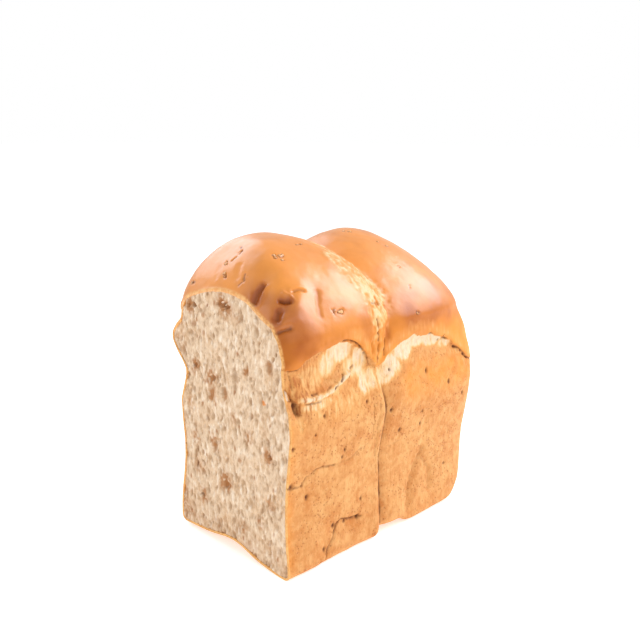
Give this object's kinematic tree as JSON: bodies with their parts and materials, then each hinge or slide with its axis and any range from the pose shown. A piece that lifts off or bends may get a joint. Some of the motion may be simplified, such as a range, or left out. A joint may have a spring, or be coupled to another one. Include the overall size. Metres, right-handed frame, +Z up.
{
  "type": "loaf of bread",
  "caption": "Two-lobed tin loaf of grain bread with a flat cut end, glossy domed top and a torn pale band above the straight tin-baked sides",
  "frame": {"origin": "on the resting plane, under the middle of the bounding box", "axes": "X across the loaf, Y along it with the cut facing -Y, Z up"},
  "size_m": [0.12, 0.1944, 0.2016],
  "materials": {
    "bread": "baked crust with an open crumb on the cut"
  },
  "bodies": {
    "root": {"loaf": "bread"}
  },
  "joints": []
}
